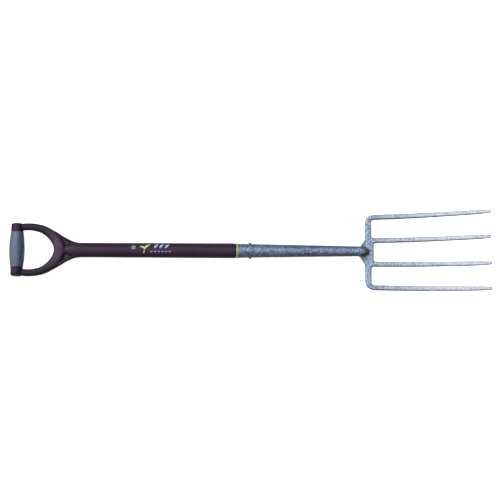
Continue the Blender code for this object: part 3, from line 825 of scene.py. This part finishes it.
def build_small(name, node, look, voxel):
    piece = remeshed(name, node, voxel, rounds=3)
    mark_edges(piece.data)
    install(piece, node, look)


# Print


def stroke_grid(route):
    """The stroke laid flat, as rows of (place along X, distance round from the top)."""
    ahead = np.gradient(route[:, :2], axis=0)
    ahead /= np.maximum(np.linalg.norm(ahead, axis=1), 1e-9)[:, None]
    aside = np.stack([-ahead[:, 1], ahead[:, 0]], axis=1)
    across = np.linspace(-1, 1, PRINT_COLUMNS)
    return route[:, None, :2] + aside[:, None] * (route[:, 2][:, None] * across)[:, :, None]


def on_sleeve(flat, lift):
    """The flat grid's points wrapped round the tapered sleeve, the lift above its skin."""
    start, end = SLEEVE_BOX[0].x, SLEEVE_BOX[1].x
    radius = radius_at("shaft_sleeve", start, SHAFT_LINE)[1]
    taper = radius_at("shaft_sleeve", end - GROOVE, SHAFT_LINE)[1] - radius
    surface = radius + taper * (flat[..., 0] - start) / (end - start)
    turn = flat[..., 1] / surface
    across = (surface + lift) * np.sin(turn)
    up = AXIS_Z + (surface + lift) * np.cos(turn)
    return np.stack([flat[..., 0], across, up], axis=2).reshape(-1, 3)


def slab_faces(rows, columns):
    """Faces of a closed slab, whose lower grid of points comes first and whose upper one follows."""
    count = rows * columns
    faces = []
    for row in range(rows - 1):
        for column in range(columns - 1):
            corner = row * columns + column
            quad = (corner, corner + 1, corner + columns + 1, corner + columns)
            faces.append(quad)
            faces.append(tuple(count + point for point in reversed(quad)))
    rim = [(row, 0) for row in range(rows)]
    rim += [(rows - 1, column) for column in range(1, columns)]
    rim += [(row, columns - 1) for row in range(rows - 2, -1, -1)]
    rim += [(0, column) for column in range(columns - 2, 0, -1)]
    rim = [row * columns + column for row, column in rim]
    for index, point in enumerate(rim):
        after = rim[(index + 1) % len(rim)]
        faces.append((point, after, count + after, count + point))
    return faces


def stroke(name, route, look):
    """A thin printed stroke. Its route has (place along X, distance round from the top, half width)."""
    route = np.array(route)
    flat = stroke_grid(route)
    points = np.concatenate([on_sleeve(flat, -PRINT_SUNK), on_sleeve(flat, PRINT_HEIGHT)])
    mesh = outward_mesh(name, points, slab_faces(len(route), PRINT_COLUMNS), smooth=False)
    mesh.materials.append(look)
    piece = add(name, mesh)
    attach(piece, "root")


def leaf(start, end, half, bend=0.0):
    """Route of a leaf between two points on the sleeve, with a curved middle line."""
    ahead = end - start
    aside = np.array([-ahead[1], ahead[0]]) * bend
    route = []
    for t in np.linspace(0, 1, LEAF_ROWS):
        spot = start + ahead * t + aside * math.sin(math.pi * t)
        width = half * math.sin(math.pi * min(max(t, 0.012), 0.988)) ** 0.8
        route.append((spot[0], spot[1], width))
    return route


def dash(start, end, half):
    """Route of a straight stroke with rounded ends."""
    length = np.linalg.norm(end - start)
    route = []
    for angle in np.linspace(0, math.pi, DASH_ROWS):
        t = 0.5 - 0.5 * math.cos(angle)
        inside = min(t, 1 - t) * length
        width = half * math.sqrt(max(0.02, 1 - (1 - min(inside / half, 1)) ** 2))
        spot = start + (end - start) * t
        route.append((spot[0], spot[1], width))
    return route


def build_blossom(origin, look):
    centre = origin + np.array(BLOSSOM_CENTRE)
    for index in range(5):
        turn = math.radians(72 * index + 20)
        ahead = np.array((math.cos(turn), math.sin(turn)))
        petal = leaf(centre + PETAL_SPAN[0] * ahead, centre + PETAL_SPAN[1] * ahead, PETAL_HALF)
        stroke(f"print_petal_{index + 1}", petal, look)


def build_seedling(origin, look):
    root = origin + np.array(SEEDLING_ROOT)
    fork = origin + np.array(SEEDLING_FORK)
    tips = origin + np.array(SEEDLING_TIPS)
    stroke("print_stem", leaf(root, fork, 0.0009, bend=0.12), look)
    stroke("print_leaf_1", leaf(fork, tips[0], 0.0021, bend=-0.22), look)
    stroke("print_leaf_2", leaf(fork, tips[1], 0.0024, bend=0.20), look)


def build_strokes(origin, pale, grey):
    """A row of slanted bars with a row of dashes under it."""
    for index in range(3):
        start = origin + np.array(BAR_START) + (index * BAR_STEP, 0)
        route = leaf(start, start + BAR_SLANT, 0.0027, bend=0.12)
        stroke(f"print_bar_{index + 1}", route, pale)
    for index in range(6):
        start = origin + np.array(DASH_START) + (index * DASH_STEP, 0)
        route = dash(start, start + DASH_SLANT, 0.0013)
        stroke(f"print_dash_{index + 1}", route, grey)


def build_print(pale, grey, lime):
    """A plain printed mark on the front of the sleeve, in (place along X, distance round from the top)."""
    origin = np.array((SLEEVE_BOX[0].x + PRINT_START, 0))
    build_blossom(origin, grey)
    build_seedling(origin, lime)
    build_strokes(origin, pale, grey)


def paint_inner_nodes():
    """Materials for the CAD nodes that stay as they are, inside the shaft and the grip."""
    tube = steel("tube_steel", TUBE_DARK, TUBE_LIGHT, roughness=0.32, scale=(12, 700, 700))
    wood = turned_wood("plug_wood")
    for node, look in (("shaft_tube", tube), ("grip_core_tube", tube), ("shaft_plug", wood)):
        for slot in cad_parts[node].material_slots:
            slot.material = look


# Studio


def build_floor():
    """A plain pale floor, just under the fork, over-exposed to white as on a light table."""
    mesh = bpy.data.meshes.new("floor")
    corners = [(-1, -1), (1, -1), (1, 1), (-1, 1)]
    points = [(FLOOR_REACH * x, FLOOR_REACH * y, -FLOOR_DROP) for x, y in corners]
    mesh.from_pydata(points, [], [(0, 1, 2, 3)])
    g = Graph("pale_floor")
    seen = g.node("LightPath", {}).outputs["Is Camera Ray"]
    look = g.finish(
        Base_Color=srgb(FLOOR_GREY),
        Roughness=0.9,
        Specular_IOR_Level=0.1,
        Emission_Color=srgb(WHITE),
        Emission_Strength=g.times(seen, FLOOR_GLOW),
    )
    mesh.materials.append(look)
    add("floor", mesh)


def area_light(name, place, target, size, power):
    data = bpy.data.lights.new(name, "AREA")
    data.shape = "RECTANGLE"
    data.size = size
    data.size_y = size
    data.energy = power
    light = bpy.data.objects.new(name, data)
    light.location = place
    light.rotation_euler = (Vector(target) - Vector(place)).to_track_quat("-Z", "Y").to_euler()
    light.visible_camera = False
    bpy.context.scene.collection.objects.link(light)


def build_lights():
    for name, place, target, size, power in LIGHTS:
        area_light(name, place, target, size, power)
    world = bpy.data.worlds.new("studio")
    world.use_nodes = True
    background = world.node_tree.nodes["Background"]
    background.inputs["Color"].default_value = srgb(STUDIO_AIR)
    background.inputs["Strength"].default_value = AIR_STRENGTH
    bpy.context.scene.world = world


def build_camera():
    """A long lens almost straight above the fork, standing a little towards -Y."""
    data = bpy.data.cameras.new("camera")
    data.sensor_width = 36.0
    data.lens = CAMERA_LENS
    data.clip_start = 0.1
    data.clip_end = 300.0
    camera = bpy.data.objects.new("camera", data)
    target = Vector((CENTRE.x + CAMERA_SHIFT[0], CENTRE.y + CAMERA_SHIFT[1], AXIS_Z))
    yaw, pitch, roll = (math.radians(value) for value in CAMERA_TURN)
    turn = Matrix.Rotation(yaw, 4, "Y") @ Matrix.Rotation(pitch, 4, "X") @ Matrix.Rotation(roll, 4, "Z")
    back = Matrix.Translation((0, 0, CAMERA_DISTANCE))
    camera.matrix_world = Matrix.Translation(target) @ turn @ back
    bpy.context.scene.collection.objects.link(camera)
    bpy.context.scene.camera = camera
    bpy.context.scene.view_settings.view_transform = "Standard"


def build_fittings():
    """The socket's rivet and the neck's screw."""
    rivet_look = steel("rivet_steel", RIVET_DARK, RIVET_LIGHT, roughness=0.42, scale=(500, 500, 500))
    build_small("socket_rivet_head", "socket_rivet", rivet_look, voxel=0.0003)
    screw_look = steel("screw_steel", SCREW_DARK, SCREW_LIGHT, roughness=0.28, scale=(900, 900, 200))
    build_small("neck_screw", "handle_screw", screw_look, voxel=0.0002)


def main():
    build_camera()
    build_lights()
    build_floor()
    build_head(hammered_enamel("head_enamel", HEAD_PAINT))
    socket_look = hammered_enamel("socket_enamel", SOCKET_PAINT)
    build_socket(socket_look)
    build_weld(socket_look)
    build_collar(gloss_plastic("collar_plastic", COLLAR_LIME, COLLAR_DEEP))
    build_sleeve(sleeve_plastic())
    build_d_frame(moulded_plastic("handle_plastic", HANDLE_DARK, HANDLE_LIGHT))
    build_grip(soft_rubber())
    cap_look = moulded_plastic("cap_plastic", CAP_DARK, CAP_LIGHT)
    build_cap("left", cap_look)
    build_cap("right", cap_look)
    build_fittings()
    pale = gloss_plastic("ink_pale", INK_PALE, INK_PALE_DEEP)
    grey = gloss_plastic("ink_grey", INK_GREY, INK_GREY_DEEP)
    lime = gloss_plastic("ink_lime", INK_LIME, INK_LIME_DEEP)
    build_print(pale, grey, lime)
    paint_inner_nodes()


main()
